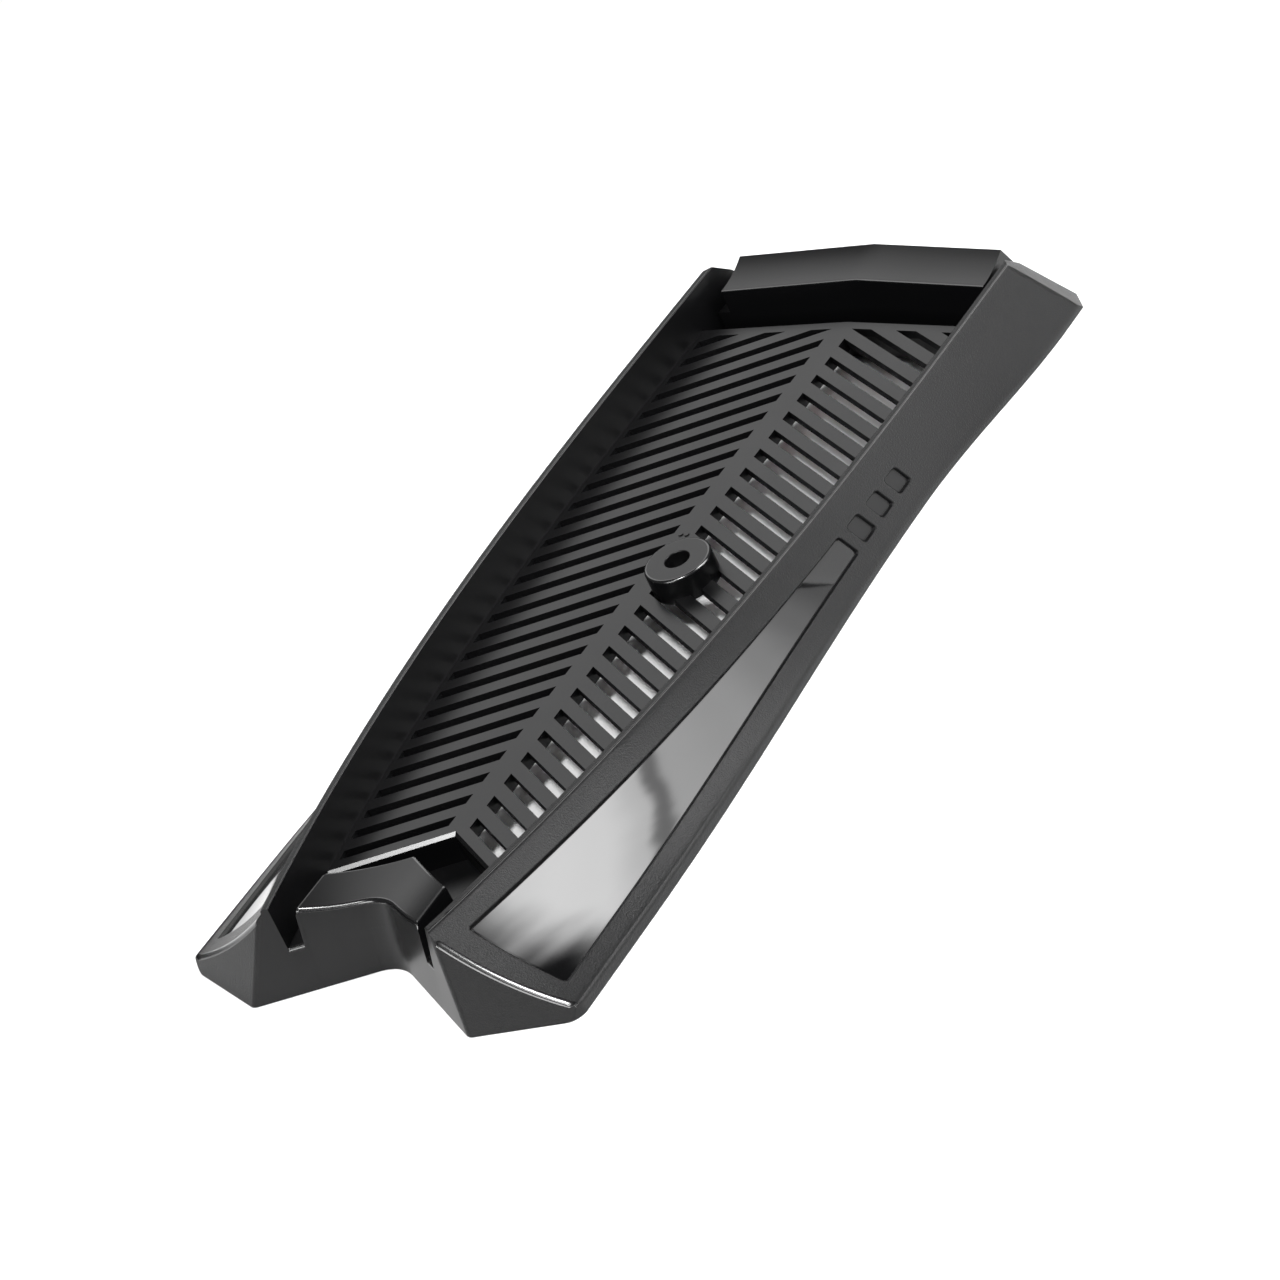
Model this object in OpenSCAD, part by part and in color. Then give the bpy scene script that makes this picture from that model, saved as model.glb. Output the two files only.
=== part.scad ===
// Vertical stand for a game console: one moulded tray with a chevron grille floor,
// curved side walls that flare out into wings, a notched near wall and a pointed far wall.
// +X runs across the channel, +Y along it to the far end, and +Z up. The origin is the
// centre of the footprint on the surface that the stand rests on.

/* [Overall] */
// Length from the near feet to the far point
stand_length = 331; // [320:1:345]
// Height of the side rims above the table
rim_height = 25.8; // [24:0.2:30]
// Thickness of the moulded shell
skin = 2; // [1.6:0.1:2.6]

/* [Channel] */
// Half width of the channel at the far end, to the outside of the rim
far_half_width = 56.7; // [54:0.1:60]
// How much narrower each side is at the near end
near_taper = 26.7; // [22:0.1:28]
// Thickness of the rim along the top of each side wall
rim_width = 2.2; // [1.8:0.1:2.8]
// How far the rim stands proud of the wing
rim_step = 0.9; // [0.5:0.1:1.5]
// Inward lean of each side wall between its rim and the grille
wall_draft = 1.6; // [0:0.1:2.5]

/* [Grille] */
// Height of the top of the grille above the table
grille_height = 13.7; // [12:0.1:15]
// Thickness of the grille
grille_thickness = 2; // [1.5:0.1:2.2]
// Spacing of the slots along the spine
slot_pitch = 9; // [8:0.1:10]
// Width of a slot, measured along the spine
slot_width = 4; // [3:0.1:4.6]
// Width of the spine between the two rows of slots
spine_width = 7.5; // [6:0.1:9]
// Depth of the two ribs under the spine, from the top of the grille
spine_depth = 4.5; // [3:0.1:7]
// Slope of the slots: the drop towards the near end for each millimetre outwards
chevron_slope = 0.6; // [0.5:0.01:0.65]
// Solid border between the slots and the side walls
side_border = 2; // [1.5:0.1:3]
// Solid border along the far edge of the grille
far_border = 3.2; // [2.5:0.1:5]

/* [Screw boss] */
// Radius of the boss
boss_radius = 10.3; // [9:0.1:12]
// Height of the boss above the grille
boss_height = 6.4; // [5:0.1:8]
// Radius of the screw hole
bore_radius = 3.75; // [2.5:0.05:5]
// Distance of the boss from the middle of the channel
boss_offset = 11.8; // [8:0.1:14]
// Radius of the rounded edge on the boss
boss_round = 0.9; // [0.4:0.1:1.5]

/* [Wings] */
// Half width across the wings near the front
wing_near = 68.1; // [66:0.1:70]
// Half width at the waist
wing_waist = 60.8; // [60.5:0.1:63]
// Half width near the far end
wing_far = 66.8; // [65:0.1:70]
// Height of the upright skirt under the wing at its near end
skirt_near = 3.4; // [2.5:0.1:4]
// Height of the skirt at the far end
skirt_far = 1.8; // [1.5:0.1:3]
// Depth of the hollow curve across the wing at its near end
sag_near = 2.1; // [1.5:0.1:3]
// Depth of the hollow curve across the wing from its waist on
sag_far = 0.9; // [0.5:0.1:1.5]
// Radius of the outer near corners, seen from above
corner_radius = 6; // [4:0.5:6]
// Depth of the moulded recesses in the wing
recess_depth = 0.9; // [0.5:0.1:1.1]
// Border between the long recess and the rim at its near end
inner_border = 5.4; // [5:0.1:6]
// Border between the long recess and the outer edge at its near end
outer_border = 7; // [6:0.1:7.5]
// Border between the last small recess and the rim
last_inner_border = 8.6; // [8:0.1:9]
// Border between the last small recess and the outer edge
last_outer_border = 7.5; // [7:0.1:8]
// Length of each small recess
cell_length = 7; // [6:0.1:7.5]
// Bar between neighbouring recesses
cell_gap = 3.6; // [3:0.1:4]

/* [End walls] */
// Half width of the raised part of the near wall
near_wall_half = 21.6; // [18:0.1:23]
// Half width of the raised part of the far wall
far_wall_half = 48.6; // [46:0.1:50]
// Height of the near wall at its middle
near_wall_height = 20.2; // [18:0.1:22]
// Height of the back lip of the far wall
far_lip_height = 24.2; // [23:0.1:25]
// Height of the front edge of the ledge on the far wall
far_ledge_height = 21.2; // [19:0.1:22]
// Height of the floor of the pockets at each end of the grille
pocket_height = 4.2; // [3.5:0.1:6]
// Depth of the pocket at the near end of the grille
near_pocket = 15.4; // [12:0.1:18]
// Depth of the pocket at the far end of the grille
far_pocket = 11.4; // [8:0.1:14]
// Thickness of the near wall at its top, front to back
near_wall_depth = 15.8; // [14:0.1:18]
// Thickness of the far wall at its top, front to back
far_wall_depth = 14.6; // [13:0.1:17]

/* [Hidden] */
$fn = 72;

eps = 0.02;
clear = 1;
moulding_colour = [0.13, 0.13, 0.135];

// Slopes of the end faces in plan and the way they lean
near_plan_slope = 0.58;
near_lean = 0.27;
far_plan_slope = 0.15;
far_lean = 0.62;
near_back_slope = 0.6;
far_ledge_slope = 0.1;
grille_far_slope = 0.07;

// Stations along the stand
notch_depth = 22;
near_foot_y = -stand_length / 2;
front_y = near_foot_y + notch_depth;
far_y = stand_length / 2;
near_wall_back = front_y + near_lean * near_wall_height + near_wall_depth;
grille_near = near_wall_back + near_pocket;
far_lip_y = far_y - far_lean * far_lip_height;
far_wall_front = far_lip_y - far_wall_depth;
grille_far = far_wall_front - far_pocket;
near_border = 4.8;
first_slot = grille_near + near_border;
// Slots that start beyond the far edge still cross its outer corners
corner_slots = 8;
slot_count = ceil((grille_far - first_slot) / slot_pitch) + corner_slots;
boss_slot = 11.67;
boss_y = first_slot + boss_slot * slot_pitch;

// Curve of the side walls in plan, and the straight stretch at its far end
straight_far = 18.6;
rim_start = 12.9;
curve_end = far_lip_y - straight_far;
curve_span = curve_end - near_foot_y - rim_start;
curve_power = 2.75;
function rim_x(y) =
    far_half_width - near_taper * pow(max(0, curve_end - y) / curve_span, curve_power);
function wall_top_x(y) = rim_x(y) - rim_width;
function wall_low_x(y) = wall_top_x(y) - wall_draft;

// Outline of the wings at table level: broad at both ends with a waist between
wide_near_y = near_foot_y + 0.1375 * stand_length;
waist_y = near_foot_y + 0.64 * stand_length;
wide_far_y = near_foot_y + 0.8837 * stand_length;
function ease(a, b, y) = (1 - cos(180 * min(1, max(0, (y - a) / (b - a))))) / 2;
function wing_x(y) =
    wing_near + (wing_waist - wing_near) * ease(wide_near_y, waist_y, y)
    + (wing_far - wing_waist) * ease(waist_y, wide_far_y, y);

function along(y) = (y - near_foot_y) / stand_length;
function skirt(y) = skirt_near + (skirt_far - skirt_near) * ease(near_foot_y, waist_y, y);
function sag(y) = sag_near + (sag_far - sag_near) * ease(near_foot_y, waist_y, y);
// Each cross-section leans towards the far end as it goes down, more so at that end
lean_near = -0.1;
lean_gain = 1.05;
lean_curve = -0.39;
function slice_lean(y) =
    let (a = min(1, max(0, along(y)))) lean_near + lean_gain * a + lean_curve * a * a;

// Top surface of the wing as a height over x, for the cross-section at y
wing_edge = rim_height - rim_step;
function wing_drop(y) = wing_edge - skirt(y);
function wing_z(y, x) =
    let (u = (x - rim_x(y)) / (wing_x(y) - rim_x(y)))
    wing_edge - wing_drop(y) * u - 4 * sag(y) * u * (1 - u);
function wing_slant(y) = sqrt(1 + pow(wing_drop(y) / (wing_x(y) - rim_x(y)), 2));

station_step = 8;
station_from = near_foot_y - 8;
station_to = far_y + 8;
station_count = round((station_to - station_from) / station_step);
stations = [for (i = [0 : station_count])
    station_from + (station_to - station_from) * i / station_count];
across = 6;

// Place a cross-section point [x, z] of the section at y
function lean_point(y, p) = [p[0], y + slice_lean(y) * (rim_height - p[1]), p[1]];

function outer_profile(y) = concat(
    [[wall_low_x(y), 0], [wall_low_x(y), grille_height], [wall_top_x(y), rim_height]],
    [[rim_x(y), rim_height]],
    [for (i = [0 : across])
        let (x = rim_x(y) + (wing_x(y) - rim_x(y)) * i / across)
        [x, wing_z(y, x)]],
    [[wing_x(y), 0]]);

function inner_profile(y) =
    let (from = wall_top_x(y) + skin, to = wing_x(y) - skin, drop = skin * wing_slant(y))
    concat(
        [[wall_low_x(y) + skin, -clear], [wall_low_x(y) + skin, grille_height]],
        [for (i = [0 : across])
            let (x = from + (to - from) * i / across)
            [x, wing_z(y, x) - drop]],
        [[to, -clear]]);

// Skin through a list of closed rings with the same number of points
module loft(rings) {
    sides = len(rings[0]);
    last = len(rings) - 1;
    polyhedron(
        points = [for (ring = rings) for (p = ring) p],
        faces = concat(
            [[for (i = [0 : sides - 1]) i]],
            [for (r = [0 : last - 1], i = [0 : sides - 1], half = [0, 1])
                let (a = r * sides + i, b = r * sides + (i + 1) % sides)
                half == 0 ? [a, a + sides, b] : [b, a + sides, b + sides]],
            [[for (i = [sides - 1 : -1 : 0]) last * sides + i]]));
}

module both_sides() {
    children();
    mirror([1, 0, 0]) children();
}

// Everything in front of the leaning chevron face at the near end, moved in by inset
module near_limit(inset) {
    turn = atan(near_plan_slope);
    both_sides()
        intersection() {
            rotate([0, 0, -turn])
                translate([-stand_length, front_y * cos(turn) + inset, 0])
                    rotate([-atan(near_lean * cos(turn)), 0, 0])
                        translate([0, -stand_length, -stand_length / 2])
                            cube([2 * stand_length, stand_length, stand_length]);
            translate([-eps, -2 * stand_length, -stand_length / 2])
                cube([stand_length, 2 * stand_length, stand_length]);
        }
}

// Everything beyond the leaning pointed face at the far end, moved in by inset
module far_limit(inset) {
    turn = atan(far_plan_slope);
    both_sides()
        intersection() {
            rotate([0, 0, -turn])
                translate([-stand_length, (far_y - inset) * cos(turn), 0])
                    rotate([atan(far_lean * cos(turn)), 0, 0])
                        translate([0, 0, -stand_length / 2])
                            cube([2 * stand_length, stand_length, stand_length]);
            translate([-eps, 0, -stand_length / 2])
                cube([stand_length, 2 * stand_length, stand_length]);
        }
}

// Everything beyond a plane through a point, in the direction of a normal
module beyond(point, normal) {
    turn = atan2(normal[1], normal[0]);
    tilt = atan2(norm([normal[0], normal[1]]), normal[2]);
    translate(point)
        rotate([0, tilt, turn])
            translate([-stand_length / 2, -stand_length / 2, 0])
                cube([stand_length, stand_length, stand_length]);
}

near_facet = [0.293, -0.834, 0.466];
far_facet = [0.64, 0.543, 0.544];
near_facet_point = [wing_near - 2.8, near_foot_y + 9.5, 0];
far_facet_point = [far_half_width - 0.4, curve_end + 4, rim_height];

// Rounds the outer near corner, where the faceted foot meets the skirt, as seen from above
corner_turn = 90 + atan2(near_facet[1], near_facet[0]);
module corner_cut() {
    plan = norm([near_facet[0], near_facet[1]]);
    corner_y = near_facet_point[1]
        + near_facet[0] * (wing_near - near_facet_point[0]) / -near_facet[1];
    reach = corner_radius * tan((90 - corner_turn) / 2);
    centre = [wing_near - corner_radius, corner_y + reach];
    side = [-near_facet[0], -near_facet[1]] / plan;
    translate([0, 0, -clear])
        linear_extrude(rim_height)
            difference() {
                polygon([
                    centre, centre + [corner_radius + clear, 0],
                    [wing_near + clear, corner_y - clear],
                    centre - side * (corner_radius + clear)]);
                translate(centre)
                    circle(corner_radius);
            }
}

// The four faceted feet and the two end faces, moved in by inset
module end_limits(inset) {
    near_limit(inset);
    far_limit(inset);
    both_sides() {
        beyond(near_facet_point - inset * near_facet, near_facet);
        beyond(far_facet_point - inset * far_facet, far_facet);
    }
}

module wing_solid() {
    loft([for (y = stations) [for (p = outer_profile(y)) lean_point(y, p)]]);
}

module wing_hollow() {
    loft([for (y = stations) [for (p = inner_profile(y)) lean_point(y, p)]]);
}

// Shallow recess in the wing from y0 to y1. It follows the surface between two lines
// that run along the rim and along the lower edge.
corner_round = 1;
recess_rows = 5;
panel_from = near_foot_y + 18.4;
panel_length = 163.5;
panel_to = panel_from + panel_length;
cell_count = 3;
cells_to = panel_to + cell_count * (cell_length + cell_gap);
function border(y, first, last) =
    first + (last - first) * min(1, max(0, (y - panel_from) / (cells_to - panel_from)));
function recess_narrow(y, y0, y1) =
    let (d = min(y - y0, y1 - y))
    d >= corner_round ? 0 : corner_round - sqrt(pow(corner_round, 2) - pow(corner_round - d, 2));
function recess_inner(y) = rim_x(y) + border(y, inner_border, last_inner_border) / wing_slant(y);
function recess_outer(y) = wing_x(y) - border(y, outer_border, last_outer_border) / wing_slant(y);
function recess_ring(y, y0, y1) =
    let (pull = recess_narrow(y, y0, y1) / wing_slant(y),
         from = recess_inner(y) + pull,
         to = recess_outer(y) - pull,
         outward = [wing_drop(y) / (wing_x(y) - rim_x(y)), 1] / wing_slant(y),
         line = [for (i = [0 : recess_rows])
             let (x = from + (to - from) * i / recess_rows) [x, wing_z(y, x)]])
    concat(
        [for (i = [0 : recess_rows]) line[i] + clear * outward],
        [for (i = [recess_rows : -1 : 0]) line[i] - recess_depth * outward]);

module wing_recess(y0, y1) {
    end_steps = [0, 0.08, 0.3, 0.65, 1];
    spans = max(1, round((y1 - y0) / station_step));
    middle_from = y0 + corner_round;
    middle_to = y1 - corner_round;
    rows = concat(
        [for (s = end_steps) y0 + corner_round * s],
        [for (i = [1 : spans]) middle_from + (middle_to - middle_from) * i / spans],
        [for (s = [3 : -1 : 0]) y1 - corner_round * end_steps[s]]);
    loft([for (y = rows) [for (p = recess_ring(y, y0, y1)) lean_point(y, p)]]);
}

module wing_recesses() {
    wing_recess(panel_from, panel_to);
    for (i = [0 : cell_count - 1])
        wing_recess(panel_to + cell_gap + i * (cell_length + cell_gap),
            panel_to + (i + 1) * (cell_length + cell_gap));
}

// Plan of the channel between the side walls, reaching grow into them
function channel_edge(grow) = [for (y = stations) [wall_low_x(y) + grow, y]];
module channel_plan(grow) {
    both_sides()
        polygon(concat(
            [[-eps, station_from]], channel_edge(grow), [[-eps, station_to]]));
}

// Plan of a band across the channel between two lines, each [y at the middle, slope]
module band_plan(low, high, half_width) {
    both_sides()
        polygon([
            [-eps, low[0]], [half_width, low[0] - low[1] * half_width],
            [half_width, high[0] - high[1] * half_width], [-eps, high[0]]]);
}

module channel_band(low, high, from_z, to_z) {
    translate([0, 0, from_z])
        linear_extrude(to_z - from_z)
            intersection() {
                channel_plan(skin / 2);
                band_plan(low, high, far_half_width);
            }
}

// One slanted slot, on the +X side
module slot(y) {
    reach = far_half_width;
    polygon([
        [spine_width / 2, y - slot_width / 2],
        [spine_width / 2 + reach, y - slot_width / 2 - chevron_slope * reach],
        [spine_width / 2 + reach, y + slot_width / 2 - chevron_slope * reach],
        [spine_width / 2, y + slot_width / 2]]);
}

module slots_plan() {
    intersection() {
        channel_plan(-side_border);
        band_plan([grille_near + 1, chevron_slope], [grille_far - far_border, grille_far_slope],
            far_half_width);
        both_sides()
            for (i = [0 : slot_count - 1])
                slot(first_slot + i * slot_pitch);
    }
}

module grille() {
    translate([0, 0, grille_height - grille_thickness])
        linear_extrude(grille_thickness)
            difference() {
                intersection() {
                    channel_plan(skin / 2);
                    band_plan([grille_near, chevron_slope], [grille_far, grille_far_slope],
                        far_half_width);
                }
                slots_plan();
            }
    both_sides()
        translate([spine_width / 2 - skin, grille_near, grille_height - spine_depth])
            cube([skin, grille_far - grille_near, spine_depth - eps]);
}

// Boss that the console screw passes through, with its rounded top edge
module boss() {
    translate([boss_offset, boss_y, grille_height - grille_thickness])
        rotate_extrude()
            union() {
                square([boss_radius, grille_thickness + boss_height - boss_round]);
                square([boss_radius - boss_round, grille_thickness + boss_height]);
                translate([boss_radius - boss_round,
                    grille_thickness + boss_height - boss_round])
                    circle(boss_round);
            }
}

module bore() {
    translate([boss_offset, boss_y, 0])
        cylinder(r = bore_radius, h = rim_height);
}

// Two small gate marks on the spine
gate_spacing = 2.2;
gate_radius = 0.8;
gate_height = 0.3;
gate_y = boss_y + 18.5;
module gate_marks() {
    for (side = [-1, 1])
        translate([side * gate_spacing / 2, gate_y, grille_height - eps])
            cylinder(r = gate_radius, h = gate_height);
}

// Pocket at each end of the grille: a low floor and the wall under the grille's edge
module pockets() {
    floor_from = pocket_height - skin;
    channel_band([near_wall_back - skin, near_back_slope], [grille_near + skin, chevron_slope],
        floor_from, pocket_height);
    channel_band([grille_near, chevron_slope], [grille_near + skin, chevron_slope],
        floor_from, grille_height);
    channel_band([grille_far - skin, grille_far_slope], [far_wall_front + skin, far_ledge_slope],
        floor_from, pocket_height);
    channel_band([grille_far - skin, grille_far_slope], [grille_far, grille_far_slope],
        floor_from, grille_height);
}

// Hollow curve along the top of the near wall, lowest at its middle
near_top_radius = 70;
// Top of the low stretches beside the raised parts of the end walls
notch_height = grille_height - 0.4;
module near_top_curve(drop) {
    translate([0, near_foot_y - clear, near_wall_height + near_top_radius - drop])
        rotate([-90, 0, 0])
            cylinder(r = near_top_radius, h = stand_length / 2, $fn = 180);
}

module near_wall() {
    difference() {
        union() {
            channel_band([near_foot_y, 0], [near_wall_back, near_back_slope], 0, notch_height);
            translate([0, 0, notch_height - clear])
                linear_extrude(rim_height - grille_height)
                    band_plan([near_foot_y, 0], [near_wall_back, near_back_slope], near_wall_half);
        }
        near_top_curve(0);
    }
}

module near_wall_hollow() {
    difference() {
        union() {
            translate([0, 0, -clear])
                linear_extrude(notch_height - skin + clear)
                    intersection() {
                        channel_plan(-eps);
                        band_plan([near_foot_y, 0], [near_wall_back - skin, near_back_slope],
                            far_half_width);
                    }
            translate([0, 0, -clear])
                linear_extrude(rim_height)
                    band_plan([near_foot_y, 0], [near_wall_back - skin, near_back_slope],
                        near_wall_half - skin);
        }
        near_top_curve(skin);
    }
}

// Section of the far wall in [y, z]: a ledge that sweeps up to the back lip
ledge_steps = 10;
ledge_power = 2.2;
far_ledge = [for (i = [0 : ledge_steps])
    let (u = i / ledge_steps)
    [far_wall_front + far_wall_depth * u,
     far_ledge_height + (far_lip_height - far_ledge_height) * pow(u, ledge_power)]];

module far_profile(inset) {
    polygon(concat(
        [for (p = far_ledge) p - [0, inset]],
        [[far_y + clear, far_lip_height - inset], [far_y + clear, -inset],
         [far_wall_front, -inset]]));
}

module far_wall_solid(half_width, inset) {
    both_sides()
        intersection() {
            rotate([0, 0, -atan(far_ledge_slope)])
                translate([-stand_length / 4, 0, 0])
                    rotate([90, 0, 90])
                        linear_extrude(stand_length)
                            far_profile(inset);
            translate([-eps, 0, -stand_length / 4])
                cube([half_width + eps, stand_length, stand_length]);
        }
}

module far_wall() {
    far_wall_solid(far_wall_half, 0);
    intersection() {
        far_wall_solid(far_half_width, 0);
        channel_band([0, 0], [station_to, 0], 0, notch_height);
    }
}

module far_wall_hollow() {
    translate([0, skin, 0])
        far_wall_solid(far_wall_half - skin, skin);
    intersection() {
        translate([0, skin, 0])
            far_wall_solid(far_half_width, skin);
        translate([0, 0, -clear])
            linear_extrude(notch_height - skin + clear)
                channel_plan(-eps);
    }
}

module console_stand() {
    color(moulding_colour)
        difference() {
            union() {
                difference() {
                    union() {
                        both_sides() wing_solid();
                        near_wall();
                        far_wall();
                    }
                    difference() {
                        union() {
                            both_sides() wing_hollow();
                            near_wall_hollow();
                            far_wall_hollow();
                        }
                        end_limits(skin);
                    }
                    end_limits(0);
                    both_sides() {
                        wing_recesses();
                        corner_cut();
                    }
                }
                pockets();
                grille();
                boss();
                gate_marks();
            }
            bore();
        }
}

console_stand();
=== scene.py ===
import bmesh
import bpy
import math
from mathutils import Matrix, Vector


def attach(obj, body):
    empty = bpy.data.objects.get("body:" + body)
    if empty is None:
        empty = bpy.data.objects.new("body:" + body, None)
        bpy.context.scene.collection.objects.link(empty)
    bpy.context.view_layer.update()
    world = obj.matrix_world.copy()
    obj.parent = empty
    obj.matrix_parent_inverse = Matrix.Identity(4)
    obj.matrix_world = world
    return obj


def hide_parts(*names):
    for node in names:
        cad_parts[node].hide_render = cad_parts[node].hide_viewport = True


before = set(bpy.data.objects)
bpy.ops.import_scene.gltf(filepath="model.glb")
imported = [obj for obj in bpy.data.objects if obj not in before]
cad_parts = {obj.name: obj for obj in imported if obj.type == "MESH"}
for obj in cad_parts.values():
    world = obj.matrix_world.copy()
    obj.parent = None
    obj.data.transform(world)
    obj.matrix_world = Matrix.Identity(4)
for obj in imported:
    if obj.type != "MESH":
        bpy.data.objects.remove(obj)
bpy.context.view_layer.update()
scene = bpy.context.scene
mm = 0.001

# Where the photograph was taken from, in the stand's own frame
cameraView = {
    "lens": 108.54,
    "sensor": 36,
    "place": (0.6785, -0.6581, 0.5856),
    "back": (0.61511, -0.58508, 0.52851),
    "level": (0.68920, 0.72457, 0.0),
    "turn": 26.094,  # degrees that the camera is turned about its own axis
    "clip": (0.01, 20),
}


def makeCamera(view):
    back = Vector(view["back"]).normalized()
    level = Vector(view["level"]).normalized()
    upright = back.cross(level).normalized()
    turn = math.radians(view["turn"])
    right = level * math.cos(turn) - upright * math.sin(turn)
    up = level * math.sin(turn) + upright * math.cos(turn)
    data = bpy.data.cameras.new("camera")
    data.lens, data.sensor_width = view["lens"], view["sensor"]
    data.clip_start, data.clip_end = view["clip"]
    camera = bpy.data.objects.new("camera", data)
    scene.collection.objects.link(camera)
    turned = Matrix((right, up, back)).transposed().to_4x4()
    camera.matrix_world = Matrix.Translation(view["place"]) @ turned
    scene.camera = camera


makeCamera(cameraView)
print("camera placed")


# Materials

def linearColour(hexColour):
    parts = [int(hexColour[i:i + 2], 16) / 255 for i in (1, 3, 5)]
    return [c / 12.92 if c <= 0.04045 else ((c + 0.055) / 1.055) ** 2.4 for c in parts] + [1.0]


def addNode(tree, kind, settings=None, values=None, links=None):
    node = tree.nodes.new(kind)
    for name, value in (settings or {}).items():
        setattr(node, name, value)
    for name, value in (values or {}).items():
        node.inputs[name].default_value = value
    for name, source in (links or {}).items():
        tree.links.new(source, node.inputs[name])
    return node


def newMaterial(name):
    material = bpy.data.materials.new(name)
    material.use_nodes = True
    material.node_tree.nodes.clear()
    return material, material.node_tree


plasticLook = {
    "colour": "#0a0a0b",
    "ior": 1.52,
    "sheen": 0.28,  # share of the plain surface gloss
    "grainSize": 0.5,  # mm between the bumps of the spark-eroded tool face
    "grainDepth": 0.14,  # mm
    "grainRoughness": (0.32, 0.40),
    "grainFlow": 55.6,  # mm over which the grain turns more or less matt
    "softEdge": 0.6,  # mm, the radius that moulded edges have
    "polishedRoughness": 0.05,
    "polishedSheen": 0.42,
    "waveSize": 33.3, "waveDepth": 0.02,  # mm, how uneven a polished face is
    "smoothRoughness": (0.26, 0.34),
    "smoothFlow": 25,  # mm
    "radiusRoughness": (0.16, 0.22),
    "radiusSheen": 0.9,
    "coreRoughness": (0.55, 0.65),
    "coreSheen": 0.05,
}


def mouldedPlastic(look):
    # black ABS from a spark-eroded tool: an even, fine matt grain
    material, tree = newMaterial("mouldedBlackAbs")
    place = addNode(tree, "ShaderNodeTexCoord")
    grain = addNode(tree, "ShaderNodeTexNoise",
                    values={"Scale": 1 / (look["grainSize"] * mm), "Detail": 3.0, "Roughness": 0.65},
                    links={"Vector": place.outputs["Object"]})
    flow = addNode(tree, "ShaderNodeTexNoise",
                   values={"Scale": 1 / (look["grainFlow"] * mm), "Detail": 2.0},
                   links={"Vector": place.outputs["Object"]})
    rough = addNode(tree, "ShaderNodeMapRange",
                    values={"To Min": look["grainRoughness"][0], "To Max": look["grainRoughness"][1]},
                    links={"Value": flow.outputs["Fac"]})
    edge = addNode(tree, "ShaderNodeBevel", settings={"samples": 6},
                   values={"Radius": look["softEdge"] * mm})
    bump = addNode(tree, "ShaderNodeBump", values={"Strength": 1.0, "Distance": look["grainDepth"] * mm},
                   links={"Height": grain.outputs["Fac"], "Normal": edge.outputs["Normal"]})
    shader = addNode(tree, "ShaderNodeBsdfPrincipled",
                     values={"Base Color": linearColour(look["colour"]), "IOR": look["ior"],
                             "Specular IOR Level": look["sheen"]},
                     links={"Roughness": rough.outputs["Result"], "Normal": bump.outputs["Normal"]})
    addNode(tree, "ShaderNodeOutputMaterial", links={"Surface": shader.outputs["BSDF"]})
    return material


def smoothPlastic(look, name, roughness, sheen):
    material, tree = newMaterial(name)
    place = addNode(tree, "ShaderNodeTexCoord")
    flow = addNode(tree, "ShaderNodeTexNoise",
                   values={"Scale": 1 / (look["smoothFlow"] * mm), "Detail": 3.0},
                   links={"Vector": place.outputs["Object"]})
    rough = addNode(tree, "ShaderNodeMapRange", values={"To Min": roughness[0], "To Max": roughness[1]},
                    links={"Value": flow.outputs["Fac"]})
    shader = addNode(tree, "ShaderNodeBsdfPrincipled",
                     values={"Base Color": linearColour(look["colour"]), "IOR": look["ior"],
                             "Specular IOR Level": sheen},
                     links={"Roughness": rough.outputs["Result"]})
    addNode(tree, "ShaderNodeOutputMaterial", links={"Surface": shader.outputs["BSDF"]})
    return material


def polishedPlastic(look):
    # the same ABS where the tool is polished: piano gloss that mirrors the room
    material, tree = newMaterial("polishedBlackAbs")
    place = addNode(tree, "ShaderNodeTexCoord")
    wave = addNode(tree, "ShaderNodeTexNoise", values={"Scale": 1 / (look["waveSize"] * mm), "Detail": 1.0},
                   links={"Vector": place.outputs["Object"]})
    bump = addNode(tree, "ShaderNodeBump", values={"Strength": 1.0, "Distance": look["waveDepth"] * mm},
                   links={"Height": wave.outputs["Fac"]})
    shader = addNode(tree, "ShaderNodeBsdfPrincipled",
                     values={"Base Color": linearColour(look["colour"]), "IOR": look["ior"],
                             "Specular IOR Level": look["polishedSheen"],
                             "Roughness": look["polishedRoughness"]},
                     links={"Normal": bump.outputs["Normal"]})
    addNode(tree, "ShaderNodeOutputMaterial", links={"Surface": shader.outputs["BSDF"]})
    return material


finishes = [
    mouldedPlastic(plasticLook),
    polishedPlastic(plasticLook),
    # black ABS off a plain tool face: an even low sheen
    smoothPlastic(plasticLook, "smoothBlackAbs", plasticLook["smoothRoughness"], plasticLook["sheen"]),
    # ABS off the tool's polished radii: thin bright lines where they catch the light
    smoothPlastic(plasticLook, "radiusBlackAbs", plasticLook["radiusRoughness"], plasticLook["radiusSheen"]),
    # ABS off the blasted core blades of the slots: dead matt, so the slots read black
    smoothPlastic(plasticLook, "coreBlackAbs", plasticLook["coreRoughness"], plasticLook["coreSheen"]),
]
grained, polished, smooth, radiused, core = range(5)
print("materials made")


# Shape of the side walls and wings, in mm, as in the solid model. The near end is at -y

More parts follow.
